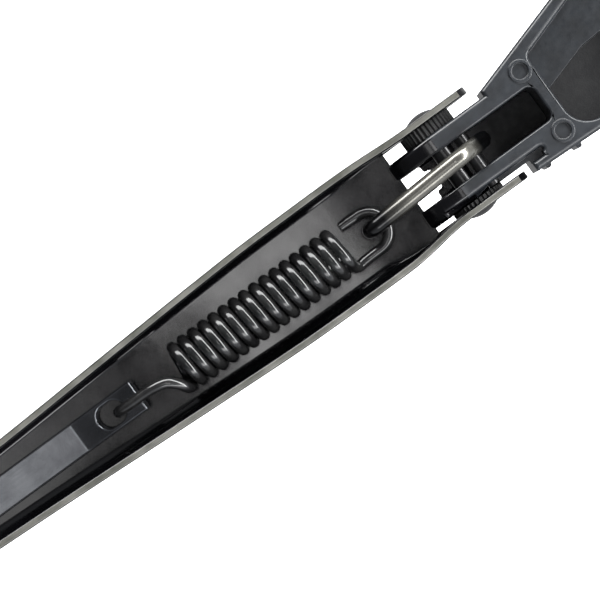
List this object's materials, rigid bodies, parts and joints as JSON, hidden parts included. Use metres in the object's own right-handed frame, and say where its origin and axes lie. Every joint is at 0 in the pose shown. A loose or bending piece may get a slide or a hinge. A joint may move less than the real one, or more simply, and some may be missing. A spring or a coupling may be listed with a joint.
{
  "type": "windscreen wiper arm",
  "caption": "Wiper arm with a cast spindle head, a folded sheet arm hinged on its fork, a tension spring with a wire link, and a flat strip ending in a blade hook.",
  "frame": {"origin": "on the spindle's axis, at the inner end of the taper seat, which is the mouth of the hole for the spindle's thread", "axes": "+X from the spindle towards the blade, +Z along the spindle towards the windscreen, so the arm lies with its underside up"},
  "size_m": [0.5359, 0.0438, 0.0278],
  "materials": {
    "cast_paint": "satin dark paint over a die casting",
    "arm_paint": "gloss black powder coat",
    "strip_paint": "satin dark grey",
    "dark_steel": "dark plated steel",
    "link_steel": "glossy dark coated steel",
    "spring_steel": "glossy black coated spring wire",
    "bush_plastic": "matt black"
  },
  "bodies": {
    "head_body": {"head": "cast_paint", "hook_pin": "dark_steel", "bush_left": "bush_plastic", "bush_right": "bush_plastic"},
    "arm_body": {"arm_channel": "arm_paint", "pivot_rivet": "dark_steel", "blade_strip": "strip_paint", "strip_rivet_1": "dark_steel", "strip_rivet_2": "dark_steel"},
    "link_body": {"spring_link": "link_steel"},
    "spring_body": {"tension_spring": "spring_steel"}
  },
  "joints": [
    {"name": "arm_fold", "type": "hinge", "parent": "head_body", "child": "arm_body", "pos_m": [0.074, 0.0058, 0.001], "axis": [0, 1, 0], "range_deg": [0, 75], "stiffness_Nm_per_rad": 0.8, "springref_deg": -171.89},
    {"name": "link_swing", "type": "hinge", "parent": "head_body", "child": "link_body", "pos_m": [0.0684, 0.0058, 0.0046], "axis": [0, 1, 0], "range_deg": [0, 71]},
    {"name": "spring_swing", "type": "hinge", "parent": "arm_body", "child": "spring_body", "pos_m": [0.1813, 0.0058, -0.0025], "axis": [0, 1, 0], "range_deg": [-3.1, 0], "deforming": ["tension_spring"]}
  ],
  "couplings": [
    {"joint": "link_swing", "follows": "arm_fold", "ratio": 0.944},
    {"joint": "spring_swing", "follows": "arm_fold", "ratio": -0.04}
  ]
}
